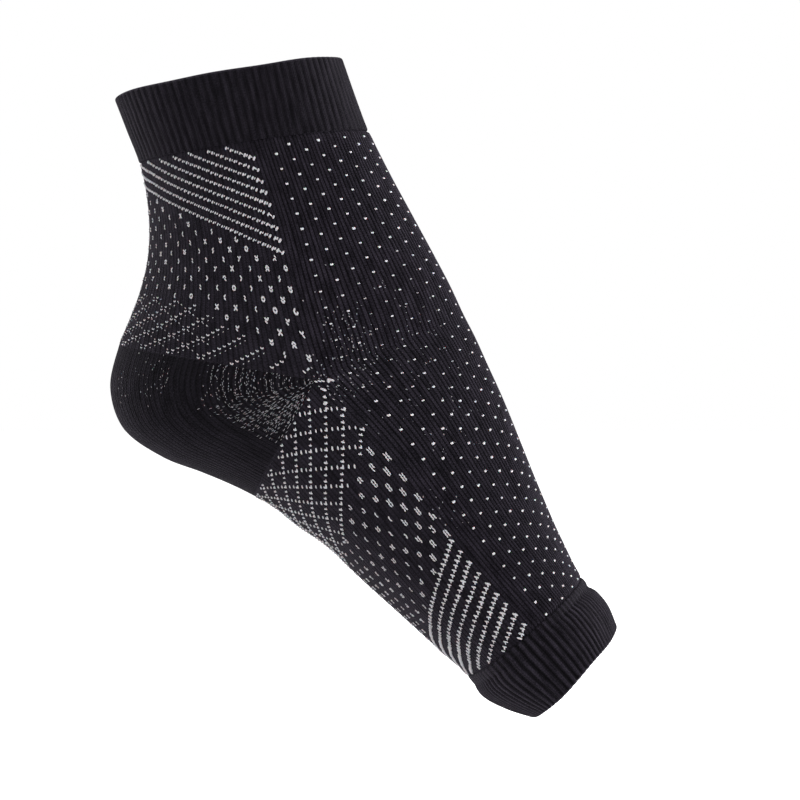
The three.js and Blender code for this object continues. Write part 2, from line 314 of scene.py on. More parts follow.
# %% [markdown]
# ## Meshes from grids
# A knitted wall is two skins, an outer one with its ribs and a plain inner one, joined by rims. Each skin is
# a grid of points, and grids that share an edge are welded there. A Solidify modifier would also give the
# wall, but it would copy the ribs inside, and the worn side of a sock is smooth. The grid's own stitch
# numbers become the UV map, so that the material can draw each stitch where it is knitted.

# %% Grids
def grid(points, stitch, inside_out=False, pit_shade_and_rim_light=0.0):
    """A grid of points with its stitch numbers (wale and course) and a value for the painted shade and light
    of the black yarn: above 0 painted shade, as deep as it lies in a pit, below 0 painted light on a folded
    rim."""
    return {"points": points, "stitch": np.stack(np.broadcast_arrays(*stitch), axis=-1),
            "pit_shade_and_rim_light": np.broadcast_to(pit_shade_and_rim_light, points.shape[:-1]), "inside_out": inside_out}


def grid_faces(shape, first, inside_out):
    """Quads between the neighbours of a grid, numbered row by row from its first point."""
    corner = first + np.arange(shape[0] * shape[1]).reshape(shape)
    quads = np.stack([corner[:-1, :-1], corner[:-1, 1:], corner[1:, 1:], corner[1:, :-1]], axis=-1)
    return quads.reshape(-1, 4)[:, ::-1] if inside_out else quads.reshape(-1, 4)


# %% From arrays to pieces
import bmesh

WELD = 1e-6


def make_mesh(name, points, faces, stitch, pit_shade_and_rim_light=None):
    """A smooth-shaded mesh with its stitch numbers as a UV map, written as whole arrays."""
    mesh = bpy.data.meshes.new(name)
    mesh.from_pydata(points.tolist(), [], faces.tolist())
    layer = mesh.uv_layers.new(name="stitches")
    layer.data.foreach_set("uv", stitch[faces.ravel()].astype(np.float32).ravel())
    # The attribute carries painted shade in a pit and painted light on a folded rim
    if pit_shade_and_rim_light is not None:
        mesh.attributes.new("pit_shade_and_rim_light", "FLOAT", "POINT").data.foreach_set("value", pit_shade_and_rim_light.astype(np.float32))
    mesh.polygons.foreach_set("use_smooth", np.ones(len(faces), bool))
    mesh.update()
    return mesh


def put_on_root(mesh, material, node=None):
    """The mesh as an object of the scene that rides on the body and takes its finish from a slot. Where a
    node of the frame is named, the object stands in for that solid."""
    piece = bpy.data.objects.new(mesh.name, mesh)
    bpy.context.scene.collection.objects.link(piece)
    piece.data.materials.append(material)
    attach(piece, "root")
    if node:
        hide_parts(node)
    print(f"{mesh.name}: {len(mesh.polygons)} faces")


def weld_grids(name, grids):
    """One mesh from several grids, with the points merged where the grids meet."""
    faces, first = [], 0
    for part in grids:
        shape = part["points"].shape[:2]
        faces.append(grid_faces(shape, first, part["inside_out"]))
        first += shape[0] * shape[1]
    points, stitch, pit_shade_and_rim_light = (np.concatenate([part[key].reshape(-1, width) for part in grids])
                            for key, width in (("points", 3), ("stitch", 2), ("pit_shade_and_rim_light", 1)))
    mesh = make_mesh(name, points, np.concatenate(faces), stitch, pit_shade_and_rim_light.ravel())
    welded = bmesh.new()
    welded.from_mesh(mesh)
    bmesh.ops.remove_doubles(welded, verts=welded.verts, dist=WELD)
    welded.to_mesh(mesh)
    welded.free()
    return mesh


# %% [markdown]
# ## Shaders
# All the cloth is one black yarn, so one node group draws the stitch, and each material gives it its own
# depth, ribs and blacks. A stitch is a V of yarn one wale wide and one course high. The group works it out
# from the UV map's stitch numbers. A tiled picture would also do, but it would stretch where the knit
# stretches, and these numbers already know where every stitch lies. The white yarn is as matt, with fine
# twist lines across it, because a plain white would look like plastic.

# %% Node helpers
def put(tree, kind, inputs=(), **settings):
    """Adds a node, sets its properties, and fills or links its inputs, by place or by name."""
    added = tree.nodes.new(kind)
    for key, value in settings.items():
        setattr(added, key, value)
    pairs = inputs.items() if isinstance(inputs, dict) else enumerate(inputs)
    for key, value in pairs:
        if isinstance(value, bpy.types.NodeSocket):
            tree.links.new(value, added.inputs[key])
        elif value is not None:
            added.inputs[key].default_value = value
    return added


def maths(tree, operation, *values, clamp=False):
    """The output of a Math node on the given numbers or sockets."""
    return put(tree, "ShaderNodeMath", values, operation=operation, use_clamp=clamp).outputs[0]


def new_group(name, inputs, outputs):
    """An empty shader node group with its named sockets, and its two end nodes."""
    tree = bpy.data.node_groups.new(name, "ShaderNodeTree")
    for title, default in inputs.items():
        socket = tree.interface.new_socket(title, in_out="INPUT", socket_type="NodeSocketFloat")
        socket.default_value = default
    for title, kind in outputs.items():
        tree.interface.new_socket(title, in_out="OUTPUT", socket_type=f"NodeSocket{kind}")
    return tree, tree.nodes.new("NodeGroupInput"), tree.nodes.new("NodeGroupOutput")


# %% The stitch group
STRAND_ROUNDNESS, LEG_ROUNDNESS = 0.6, 0.55
STREAK_SHARE, MOTTLE_SHARE = 0.6, 0.4
# The share of painted shade between the strands
GAP_SHADE = 0.45


def make_stitch_group():
    """Knit: across = |wale - nearest wale|, leg = 1 at across 1/4 and 0 at 0 and 1/2, and strand =
    sin(pi * fraction of (course + slant * across)). The height of the yarn is strand times leg, and the
    groove is 1 where half a cosine over the rib's width is lowest. The painted shade darkens the colour
    between strands, and in the groove by the share that is given."""
    tree, given, result = new_group(
        "knit stitch", {"Slant": 1.3, "Unevenness": 0.35, "Rib width": 1.0, "Groove shade": 0.5},
        {"Height": "Float", "Tone": "Float", "Painted shade": "Float"})
    uv = put(tree, "ShaderNodeUVMap", uv_map="stitches").outputs["UV"]
    wander = put(tree, "ShaderNodeTexNoise", {"Vector": uv, "Scale": 0.55, "Detail": 3.0, "Roughness": 0.65})
    centred = maths(tree, "SUBTRACT", wander.outputs["Fac"], 0.5)
    shift = maths(tree, "MULTIPLY", centred, given.outputs["Unevenness"])
    parts = put(tree, "ShaderNodeSeparateXYZ", [uv])
    wale = maths(tree, "ADD", parts.outputs["X"], maths(tree, "MULTIPLY", shift, 0.5))
    from_wale = maths(tree, "FRACT", maths(tree, "ADD", wale, 0.5))
    across = maths(tree, "ABSOLUTE", maths(tree, "SUBTRACT", from_wale, 0.5))
    leg = maths(tree, "SINE", maths(tree, "MULTIPLY", across, 2 * math.pi))
    course = maths(tree, "ADD", parts.outputs["Y"], shift)
    slanted = maths(tree, "ADD", course, maths(tree, "MULTIPLY", across, given.outputs["Slant"]))
    strand = maths(tree, "SINE", maths(tree, "MULTIPLY", maths(tree, "FRACT", slanted), math.pi))
    body = maths(tree, "MULTIPLY", maths(tree, "POWER", strand, STRAND_ROUNDNESS),
                 maths(tree, "POWER", leg, LEG_ROUNDNESS))
    streak = put(tree, "ShaderNodeMapping", {"Vector": uv, "Scale": (1.0, 0.11, 1.0)})
    streaks = put(tree, "ShaderNodeTexNoise", {"Vector": streak.outputs[0], "Scale": 0.9, "Detail": 4.0})
    mottle = put(tree, "ShaderNodeTexNoise", {"Vector": uv, "Scale": 1.7, "Detail": 2.0})
    tone = maths(tree, "ADD", maths(tree, "MULTIPLY", streaks.outputs["Fac"], STREAK_SHARE),
                 maths(tree, "MULTIPLY", mottle.outputs["Fac"], MOTTLE_SHARE))
    ribs_passed = maths(tree, "DIVIDE", parts.outputs["X"], given.outputs["Rib width"])
    crest = maths(tree, "COSINE", maths(tree, "MULTIPLY", ribs_passed, 2 * math.pi))
    groove = maths(tree, "SUBTRACT", 0.5, maths(tree, "MULTIPLY", crest, 0.5))
    # Painted shade: the colour is darker between the strands and in the rib grooves
    painted_shade = maths(tree, "MULTIPLY", maths(tree, "SUBTRACT", 1.0, body), GAP_SHADE)
    groove_shade = maths(tree, "MULTIPLY", groove, given.outputs["Groove shade"])
    tree.links.new(body, result.inputs["Height"])
    tree.links.new(tone, result.inputs["Tone"])
    tree.links.new(maths(tree, "ADD", painted_shade, groove_shade, clamp=True), result.inputs["Painted shade"])
    return tree


knit_stitch = make_stitch_group()
print(f"stitch group: {len(knit_stitch.nodes)} nodes")


# %% Material helpers
def start_material(name, **uniform):
    """A material with its Principled shader, whose even values are set on the shader's own sockets."""
    material = bpy.data.materials.new(name)
    material.use_nodes = True
    shader = material.node_tree.nodes["Principled BSDF"]
    for title, value in uniform.items():
        shader.inputs[title.replace("_", " ")].default_value = value
    return material, material.node_tree, shader


def mix_colour(tree, share, first, second):
    """The colour between two colours or colour sockets."""
    mixed = put(tree, "ShaderNodeMix", {0: share, 6: first, 7: second}, data_type="RGBA")
    return mixed.outputs[2]


# %% Black yarn
# The near black of the painted shade, and how far the colour goes towards it
PAINTED_SHADE_BLACK, PAINTED_SHADE_STRENGTH = (0.0006, 0.0005, 0.0008, 1), 0.95
TONE_RANGE = (0.38, 0.62)
PANEL_FADE = (SIDE_WALE - 3, SIDE_WALE + 1)


def from_panel_to_back(tree, front, back):
    """A value that is one number on the front panel and another behind it: wales ping-pong round the tube."""
    uv = put(tree, "ShaderNodeUVMap", uv_map="stitches").outputs["UV"]
    wale = put(tree, "ShaderNodeSeparateXYZ", [uv]).outputs["X"]
    from_front = maths(tree, "PINGPONG", wale, BACK_WALE)
    fade = put(tree, "ShaderNodeMapRange", {"Value": from_front, "From Min": PANEL_FADE[0],
                                            "From Max": PANEL_FADE[1], "To Min": front, "To Max": back})
    return fade.outputs[0]


def make_black_yarn(name, dark, light, bump, rib_width, groove, behind=None):
    """Black cotton and nylon: tone from the stitch group between two blacks, and its height as a bump.
    Painted shade makes the gaps between the stitches, the rib grooves and each pit of a band darker still.
    Where the attribute is below 0, at a band's folded rim, painted light lifts the tone and lightens the
    gaps. The knit behind the side wales may have a groove shade and a share of the tone of its own."""
    material, tree, shader = start_material(
        name, Specular_IOR_Level=0.05, Sheen_Weight=0.06, Sheen_Roughness=0.4,
        Sheen_Tint=(0.75, 0.66, 0.85, 1))
    knit = put(tree, "ShaderNodeGroup", node_tree=knit_stitch)
    knit.inputs["Rib width"].default_value = rib_width
    knit.inputs["Groove shade"].default_value = groove
    tone = put(tree, "ShaderNodeMapRange", {
        "Value": knit.outputs["Tone"], "From Min": TONE_RANGE[0], "From Max": TONE_RANGE[1]}).outputs[0]
    # The attribute holds painted shade in a band's pit above 0 and painted light on its folded rim below 0
    pit_shade_and_rim_light = put(tree, "ShaderNodeAttribute", attribute_name="pit_shade_and_rim_light").outputs["Fac"]
    negative_rim_light = maths(tree, "MINIMUM", pit_shade_and_rim_light, 0.0)
    tone_and_rim_light = maths(tree, "SUBTRACT", tone, negative_rim_light)
    if behind:
        tree.links.new(from_panel_to_back(tree, groove, behind[0]), knit.inputs["Groove shade"])
        tone_and_rim_light = maths(tree, "MULTIPLY", tone_and_rim_light, from_panel_to_back(tree, 1, behind[1]))
    yarn = mix_colour(tree, tone_and_rim_light, dark, light)
    # Painted shade in gaps, grooves and the pit mixes the colour towards a near black; painted rim light
    # lessens it
    pit_or_gap_shade = maths(tree, "MAXIMUM", knit.outputs["Painted shade"], pit_shade_and_rim_light)
    painted_shade = maths(tree, "MULTIPLY", maths(tree, "ADD", pit_or_gap_shade, negative_rim_light, clamp=True), PAINTED_SHADE_STRENGTH)
    colour = mix_colour(tree, painted_shade, yarn, PAINTED_SHADE_BLACK)
    tree.links.new(colour, shader.inputs["Base Color"])
    rough = put(tree, "ShaderNodeMapRange", {"Value": knit.outputs["Tone"], "To Min": 0.95, "To Max": 0.8})
    tree.links.new(rough.outputs[0], shader.inputs["Roughness"])
    place = put(tree, "ShaderNodeTexCoord").outputs["Object"]
    fuzz = put(tree, "ShaderNodeTexNoise", {"Vector": place, "Scale": 5200.0, "Detail": 2.0})
    height = maths(tree, "ADD", knit.outputs["Height"], maths(tree, "MULTIPLY", fuzz.outputs["Fac"], 0.25))
    relief = put(tree, "ShaderNodeBump", {"Strength": 0.85, "Distance": bump, "Height": height})
    tree.links.new(relief.outputs[0], shader.inputs["Normal"])
    return material


black_knit = make_black_yarn(
    "black knit", dark=(0.006, 0.0051, 0.0077, 1), light=(0.032, 0.0272, 0.0385, 1),
    bump=0.00035, rib_width=1, groove=0.7, behind=(0.5, 0.68))
black_heel = make_black_yarn(
    "black heel knit", dark=(0.003, 0.0026, 0.0039, 1), light=(0.011, 0.0094, 0.0135, 1),
    bump=0.0003, rib_width=1, groove=0.5)
black_rib = make_black_yarn(
    "black rib", dark=(0.006, 0.0051, 0.0077, 1), light=(0.029, 0.0246, 0.0348, 1),
    bump=0.00025, rib_width=2, groove=0.85)
black_cuff = make_black_yarn(
    "black cuff rib", dark=(0.0045, 0.0039, 0.0058, 1), light=(0.017, 0.0145, 0.0204, 1),
    bump=0.00025, rib_width=2, groove=0.5)


# %% White yarn
def make_white_yarn(name, dark, light):
    """White yarn: fine twist lines across the strand as a bump, and a fibre noise between two tones."""
    material, tree, shader = start_material(
        name, Roughness=0.8, Specular_IOR_Level=0.3, Sheen_Weight=0.15, Sheen_Roughness=0.5,
        Subsurface_Weight=0.12, Subsurface_Scale=0.0004)
    uv = put(tree, "ShaderNodeUVMap", uv_map="stitches").outputs["UV"]
    twist = put(tree, "ShaderNodeTexWave", {"Vector": uv, "Scale": 2.4, "Distortion": 0.6, "Detail": 1.0},
                bands_direction="DIAGONAL")
    fibre = put(tree, "ShaderNodeTexNoise", {"Vector": uv, "Scale": 9.0, "Detail": 2.0})
    tone = mix_colour(tree, fibre.outputs["Fac"], dark, light)
    tree.links.new(tone, shader.inputs["Base Color"])
    relief = put(tree, "ShaderNodeBump", {
        "Strength": 0.5, "Distance": 0.00012, "Height": twist.outputs["Fac"]})
    tree.links.new(relief.outputs[0], shader.inputs["Normal"])
    return material


white_yarn = make_white_yarn("white yarn", (0.5, 0.49, 0.52, 1), (0.74, 0.73, 0.75, 1))
pale_yarn = make_white_yarn("pale yarn", (0.37, 0.36, 0.385, 1), (0.56, 0.55, 0.57, 1))
shaded_yarn = make_white_yarn("shaded white yarn", (0.09, 0.086, 0.097, 1), (0.42, 0.41, 0.44, 1))
print("materials:", ", ".join(material.name for material in bpy.data.materials))

# %% [markdown]
# ## The sleeve and the heel
# The sleeve is two tubes, leg and foot, that share their front half at the ankle. Behind the ankle the heel
# pocket fills the wedge between them. On the outside each wale stands up as a low rib, four columns of
# points to a wale. Ribs could be left to the bump alone, but then the outline would be smooth, and on the
# real sock the ribs break the light all the way to the edge.

# %% Rib relief
RIB_FRONT, RIB_BACK, RIB_VARIES = 0.0004, 0.00012, 0.25
rng = np.random.default_rng(7)
rib_lively = 1 + RIB_VARIES * np.convolve(rng.uniform(-1, 1, WALES + 4), [0.25, 0.5, 0.25], "same")[:WALES]


def rib_height(wale):
    """Height above the skin: half a cosine over each wale, higher on the front panel than behind."""
    number = wale % WALES
    number = np.minimum(number, WALES - number)
    panel = np.clip((SIDE_WALE - number) / 3, 0, 1)
    height = (RIB_BACK + (RIB_FRONT - RIB_BACK) * panel) * rib_lively[np.round(wale).astype(int) % WALES]
    return height * (0.5 + 0.5 * np.cos(2 * np.pi * wale))


print(f"ribs from {rib_lively.min() * RIB_FRONT * 1000:.2f} to {rib_lively.max() * RIB_FRONT * 1000:.2f} mm")

# %% Walls of the knit
COLUMNS = 4
UNDER_BAND = 0.001
SEAM_SINK, SEAM_REACH, SEAM_START, SEAM_LIMIT = 0.0006, 0.0014, 0.0002, 1.6


def knit_wall(stretch, place, wale, height):
    """Points of the knit: the skin at the wale's drifted turn, moved out along the normal by the height."""
    drift_at = np.zeros_like(place) if stretch == "heel" else place
    quarters = wale_turn(drift_at, wale)
    return stretch_skin(stretch, place, quarters) + outward(stretch, place, quarters) * height[..., None]


def tube(stretch, places, wales, inside=False):
    """One skin of the wall as a grid over places and wales, sunk a little where it passes under a band."""
    place, wale = np.meshgrid(places, wales, indexing="ij")
    if inside:
        height = np.full_like(place, -WALL)
    else:
        end_room = np.inf if stretch == "heel" else np.minimum(place + LEG, FOOT - place)
        under = np.clip(1 - (end_room - SEAM_START) / SEAM_REACH, 0, SEAM_LIMIT)
        height = rib_height(wale) * (1 - np.clip(under, 0, 1)) - SEAM_SINK * under**2
    if stretch == "heel":
        share = np.clip(np.abs(wale - BACK_WALE) / SIDE_WALE, 0, 1)
        course = (place - HEEL_ARC / 2) * (1 - share) / COURSE_STEP
    else:
        course = place_course(place, wale)
    return grid(knit_wall(stretch, place, wale, height), (wale, course), inside_out=inside)


def rim(outer, inner, row, columns=slice(None), inside_out=False):
    """The strip that closes a wall between one row of its outer skin and the same row of its inner skin."""
    both = np.stack([outer["points"][row, columns], inner["points"][row, columns]])
    stitch = outer["stitch"][row, columns]
    return grid(both, (np.stack([stitch[..., 0]] * 2), np.stack([stitch[..., 1]] * 2)), inside_out)


# %% The sleeve
all_round = np.arange(WALES * COLUMNS + 1) / COLUMNS
behind = slice(SIDE_WALE * COLUMNS, (WALES - SIDE_WALE) * COLUMNS + 1)
leg_outer = tube("leg", np.linspace(-LEG - UNDER_BAND, 0, 41), all_round)
leg_inner = tube("leg", np.linspace(-LEG - UNDER_BAND, 0, 14), all_round, inside=True)
foot_outer = tube("foot", np.linspace(0, FOOT + UNDER_BAND, 52), all_round)
foot_inner = tube("foot", np.linspace(0, FOOT + UNDER_BAND, 18), all_round, inside=True)
put_on_root(weld_grids("knitted_sleeve", [
    leg_outer, leg_inner, foot_outer, foot_inner,
    rim(leg_outer, leg_inner, 0, inside_out=True), rim(foot_outer, foot_inner, -1),
    rim(leg_outer, leg_inner, -1, behind), rim(foot_outer, foot_inner, 0, behind, inside_out=True),
]), black_knit, "sleeve")

# %% The heel pocket
heel_wales = all_round[behind]
heel_outer = tube("heel", np.linspace(0, HEEL_ARC, 61), heel_wales)
heel_inner = tube("heel", np.linspace(0, HEEL_ARC, 21), heel_wales, inside=True)
put_on_root(weld_grids("knitted_heel", [
    heel_outer, heel_inner, rim(heel_outer, heel_inner, 0, inside_out=True), rim(heel_outer, heel_inner, -1),
]), black_heel, "heel_pocket")

# %% [markdown]
# ## The ribbed bands
# The cuff and the toe band are knitted double and folded over, so each is a thick soft wall with a rounded
# rim. Its profile is a path of points with a rib share at each, carried round the tube. A loft between a
# few rings would miss the round fold, which is what catches the light at the open ends.

# %% The profile of a folded band
BAND_OUT, BAND_IN, FOLD = 0.00022, -0.0017, 0.00096
BAND_START, BAND_ROUND = 0.0009, 0.0004
START_ROWS, FACE_ROWS, FOLD_ROWS, LINING_ROWS = 6, 17, 13, 7
PIT_REACH = 0.0006
PIT_STEPS = np.linspace(-2, 2, 9) * PIT_REACH
STRIP_RIB, LINING_RIB = 0.3, 0.12


def band_profile(length, strip):
    """Along, offset, rib share and rim light share, the painted light on the fold: a rounded start, the
    outer face, a half circle for the fold, the lining. Before the strip's end the ribs are shallow."""
    start = np.linspace(0, np.pi / 2, START_ROWS)
    face = np.linspace(BAND_START, length - FOLD, FACE_ROWS)[1:-1]
    ribbed = np.ones(len(face))
    if strip:
        face = np.unique(np.append(face, strip + PIT_STEPS))
        face = face[face > BAND_START]
        ribbed = STRIP_RIB + (1 - STRIP_RIB) * np.clip((face - strip) / PIT_REACH, 0, 1)
    fold = np.linspace(0, np.pi, FOLD_ROWS)
    lining = np.linspace(length - FOLD, 0, LINING_ROWS + 1)[1:]
    along = np.concatenate([BAND_START * (1 - np.cos(start)), face,
                            length - FOLD + FOLD * np.sin(fold), lining, [0]])
    offset = np.concatenate([BAND_OUT + BAND_ROUND * (np.sin(start) - 1), np.full(len(face), BAND_OUT),
                             BAND_OUT - FOLD + FOLD * np.cos(fold), np.full(len(lining), BAND_IN),
                             [BAND_OUT - BAND_ROUND]])
    share = np.concatenate([np.sin(start) * ribbed[0], ribbed, 0.55 + 0.45 * np.cos(fold),
                            np.full(len(lining), LINING_RIB), [0]])
    rim_light_share = np.concatenate([np.zeros(len(start) + len(face)), np.sin(fold), np.zeros(len(lining) + 1)])
    return along, offset, share, rim_light_share


# %% Folded bands
RIBS, BAND_RIB_VARIES, GROOVE_SHARPNESS = 84, 0.2, 1.4
CUFF_RIB, TOE_RIB, TOE_STRIP = 0.00029, 0.00045, 0.0036
RIM_WAVE, RIM_RIPPLE = 0.00022, 0.00014
PIT_DEPTH, SHALLOW = 0.0004, 0.3
DENT_DEPTH, DENT_REACH, DENT_SHIFT = 0.0009, 0.0019, 0.0013
# How much light is painted on a band's folded rim
RIM_LIGHT, BAND_COURSE = 0.9, 0.0009


def band(name, stretch, start, length, seed, yarn, rib_depth, strip=0.0):
    """A ribbed band: the profile carried round the tube, with a groove of half a cosine between two ribs.
    Where a plain strip ends, the band dips a little, most over the instep, and each groove starts in a
    pit. Dip and pit are bell curves along the tube, and two sine waves round it make the rim uneven."""
    lively = np.random.default_rng(seed)
    along, offset, share, rim_light_share = band_profile(abs(length), strip)
    wale = all_round[None, :]
    rib = np.round(wale / 2).astype(int) % RIBS
    depth = rib_depth * (1 + BAND_RIB_VARIES * lively.uniform(-1, 1, RIBS))[rib]
    groove = (0.5 - 0.5 * np.cos(np.pi * wale)) ** GROOVE_SHARPNESS
    angle = wale / WALES * 2 * np.pi
    wave = RIM_WAVE * np.sin(3 * angle + 0.7) + RIM_RIPPLE * np.sin(7 * angle + 2.1)
    place = start + np.sign(length) * (along[:, None] + wave * (along[:, None] / abs(length)) ** 2)
    on_face = (np.arange(len(along)) < len(along) - FOLD_ROWS - LINING_ROWS - 1) & (strip > 0)
    pit = np.where(on_face, np.exp(-((along - strip) / PIT_REACH) ** 2), 0)[:, None]
    pit = pit * (SHALLOW + (1 - SHALLOW) * groove)
    instep = np.clip(np.cos(angle), 0, 1) ** 2
    dip = np.exp(-((along[:, None] - strip - DENT_SHIFT * instep) / DENT_REACH) ** 2)
    dip = dip * (SHALLOW + (1 - SHALLOW) * instep) * on_face[:, None]
    height = offset[:, None] - depth * groove * share[:, None] - PIT_DEPTH * pit - DENT_DEPTH * dip
    place, height, wales = np.broadcast_arrays(place, height, wale)
    # The black yarn's colour: painted shade in the pit, less painted light on the folded rim
    shade = pit - RIM_LIGHT * rim_light_share[:, None]
    points = knit_wall(stretch, place, wales, height)
    part = grid(points, (wales, place / BAND_COURSE), inside_out=length < 0, pit_shade_and_rim_light=shade)
    put_on_root(weld_grids(name, [part]), yarn, node=name.replace("knitted_", ""))


band("knitted_ankle_cuff", "leg", -LEG, -CUFF, 11, black_cuff, CUFF_RIB)
band("knitted_toe_band", "foot", FOOT, TOE_BAND, 12, black_rib, TOE_RIB, strip=TOE_STRIP)

# %% [markdown]
# ## White yarn, stitch by stitch
# The pattern is real yarn knitted in. A white stitch is a little V of two strands, or one leg of it where
# the black covers the other, and it stands just proud of the knit. A painted pattern would be quicker, but
# it would stay flat at the edges, where the real stitches catch the light. One small mesh is copied to
# every stitch of a chart by array sums.

# %% One strand of yarn
SIDES, STATIONS = 6, 4
WALE_SIZE, COURSE_SIZE = 0.00128, 0.00098
YARN_LIFT, YARN_ARCH = 0.0001, 0.00017
THIN_ENDS = 0.42


def strand(way, outer, inner, reach, thick):
    """A leg of a stitch as a tube of 4 rings of 6 points, in wales, courses and metres of height. Its
    middle line runs from (outer, -reach) over a low arch to (inner, reach), on the side that way gives as
    1 or -1, and it thins to both ends."""
    t = np.linspace(-1, 1, STATIONS)
    across = inner + (outer - inner) * (0.5 - 0.5 * np.sin(t * np.pi / 2))
    line = np.column_stack([way * across * WALE_SIZE, reach * t * COURSE_SIZE, YARN_ARCH * (1 - t**2)])
    heading = np.gradient(line, axis=0)
    heading /= np.linalg.norm(heading, axis=1, keepdims=True)
    side = np.cross(heading, [0, 0, 1])
    side /= np.linalg.norm(side, axis=1, keepdims=True)
    up = np.cross(side, heading)
    angle = np.arange(SIDES)[:, None] / SIDES * 2 * np.pi
    ring = side[:, None] * np.cos(angle) + up[:, None] * np.sin(angle)
    thickness = thick * (1 - THIN_ENDS * np.abs(t) ** 3)
    points = line[:, None] + ring * thickness[:, None, None]
    return points.reshape(-1, 3) / [WALE_SIZE, COURSE_SIZE, 1]


def strand_faces():
    """Quads round the tube between its rings, and two quads over each end."""
    number = np.arange(STATIONS * SIDES).reshape(STATIONS, SIDES)
    turned = np.roll(number, -1, axis=1)
    tube_quads = np.stack([number[:-1], number[1:], turned[1:], turned[:-1]], axis=-1).reshape(-1, 4)
    start, end = number[0], number[-1]
    caps = np.array([start[:4], start[[0, 3, 4, 5]], end[[3, 2, 1, 0]], end[[5, 4, 3, 0]]])
    return np.concatenate([tube_quads, caps])


STRAND_FACES = strand_faces()
POINTS_PER_STRAND = STATIONS * SIDES
print(f"one strand: {len(STRAND_FACES)} faces")


# %% Where a stitch lies, and which ways its wale and course run there
LEG_OR_FOOT_STEP, HEEL_STEP = 0.4, 0.2


def surface_frame(wale, course):
    """The knit's point, its step to the next wale, its step to the next course and its outward normal."""
    step = LEG_OR_FOOT_STEP
    is_leg = course_place(course, wale) < 0

    def at(w, c):
        place = course_place(c, w)
        place = np.where(is_leg, np.minimum(place, 0), np.maximum(place, 0))
        quarters = wale_turn(place, w)
        leg, foot = (stretch_skin(name, place, quarters) for name in ("leg", "foot"))
        return np.where(is_leg[..., None], leg, foot)

    across = (at(wale + step, course) - at(wale - step, course)) / (2 * step)
    along = (at(wale, course + step) - at(wale, course - step)) / (2 * step)
    normal = np.cross(across, along)
    return at(wale, course), across, along, normal / np.linalg.norm(normal, axis=-1, keepdims=True)


def heel_frame(wale, course):
    """The same for the heel, whose courses are counted along its own arc. The steps are one stitch long."""
    step = HEEL_STEP

    def at(w, c):
        return stretch_skin("heel", c * COURSE_STEP, wale_turn(np.zeros_like(w), w))

    across = at(wale + step, course) - at(wale - step, course)
    along = at(wale, course + step) - at(wale, course - step)
    normal = np.cross(across, along)
    units = [vector / np.linalg.norm(vector, axis=-1, keepdims=True) for vector in (across, along, normal)]
    return at(wale, course), units[0] * WALE_SIZE, units[1] * COURSE_SIZE, units[2]


# %% A chart's stitches as one mesh
def yarn_piece(name, chart, thick, outer, reach, inner=0.08, frame_of=surface_frame, yarn=pale_yarn):
    """Every stitch of a chart: point + across * wales + along * courses + normal * height, and its mirror
    image on the far side. A V has the two legs of kinds 1 and -1, which lean to either side, and a turn
    of -1 sets a stitch upside down. Sleeve and heel each have a frame that gives point and ways."""
    wale, course, size, kind, turn = chart.T
    middle, across, along, normal = frame_of(wale, course)
    points, stitch = [], []
    for way in (1, -1):
        chosen = (kind == 0) | (kind == way)
        u, v, h = strand(way, outer, inner, reach, thick).T
        scale = size[chosen, None]
        wales, courses, height = u * scale, v * scale * turn[chosen, None], YARN_LIFT + h * scale
        points.append(middle[chosen, None] + across[chosen, None] * wales[..., None]
                      + along[chosen, None] * courses[..., None] + normal[chosen, None] * height[..., None])
        stitch.append(np.stack([wale[chosen, None] + wales, course[chosen, None] + courses], axis=-1))
    near, stitch = np.concatenate(points), np.concatenate(stitch)
    overturned = np.concatenate([turn[(kind == 0) | (kind == way)] < 0 for way in (1, -1)])
    own_mirror = np.isin(np.round(stitch[:, :, 0].mean(axis=1)), (0, BACK_WALE))
    far = near[~own_mirror] * [1, -1, 1]
    first = np.arange(len(near) + len(far))[:, None, None] * POINTS_PER_STRAND
    faces = STRAND_FACES[None] + first
    mirrored = np.concatenate([overturned, ~overturned[~own_mirror]])
    faces[mirrored] = faces[mirrored][:, :, ::-1]
    stitch = np.concatenate([stitch, stitch[~own_mirror]]).reshape(-1, 2)
    mesh = make_mesh(name, np.concatenate([near, far]).reshape(-1, 3), faces.reshape(-1, 4), stitch)
    put_on_root(mesh, yarn)


# %% Charts: each row is a stitch's wale, course, size, kind (0 a whole V, 1 or -1 one leg of it) and turn
BAND_ROOM, HEEL_ROOM, NET_ROOM, AREA_ROOM = 0.0009, 0.0007, 0.001, 0.0012


def stitches(wale, course, size, kind=0, turn=1):
    """Chart rows from columns, keeping the stitches that lie on the sleeve, clear of bands and heel."""
    columns = np.broadcast_arrays(*(np.asarray(value, float) for value in (wale, course, size, kind, turn)))
    chart = np.column_stack([column.ravel() for column in columns])
    place = course_place(chart[:, 1], chart[:, 0])
    heel_room = np.where(chart[:, 0] > SIDE_WALE + 1, HEEL_ROOM, 0)
    return chart[(place > -LEG + BAND_ROOM) & (place < FOOT - BAND_ROOM) & (np.abs(place) >= heel_room)]


def lattice(wales, courses):
    """Every pair of one of the wales and one of the courses, as two columns."""
    return np.stack(np.meshgrid(wales, courses), axis=-1).reshape(-1, 2).T.astype(float)


def border(limits, wale, course):
    """The place of an area's border at each stitch, read at its wale in the stretched knit."""
    charted = wale_turn(course_place(course, wale), wale) * SIDE_WALE
    return np.interp(charted, *np.array(limits).T)


def uneven(count, share):
    """Sizes about 1 that vary by a share, as loops of yarn do."""
    return 1 + share * rng.uniform(-1, 1, count)


# %% [markdown]
# ## The white charts
# Each area of the sock has a pattern of its own: dots on the front panel, stripes below the cuff and before
# the toe band, short dashes between them, rows above the heel and a diamond net on the arch. Every stitch
# could be set by hand, but the real pattern repeats every 6 or 8 courses, so a lattice or a sloping row
# gives most of it. A border, as a table of wales and places, ends each area, and every stitch differs a
# little from the next, because yarn is never even.

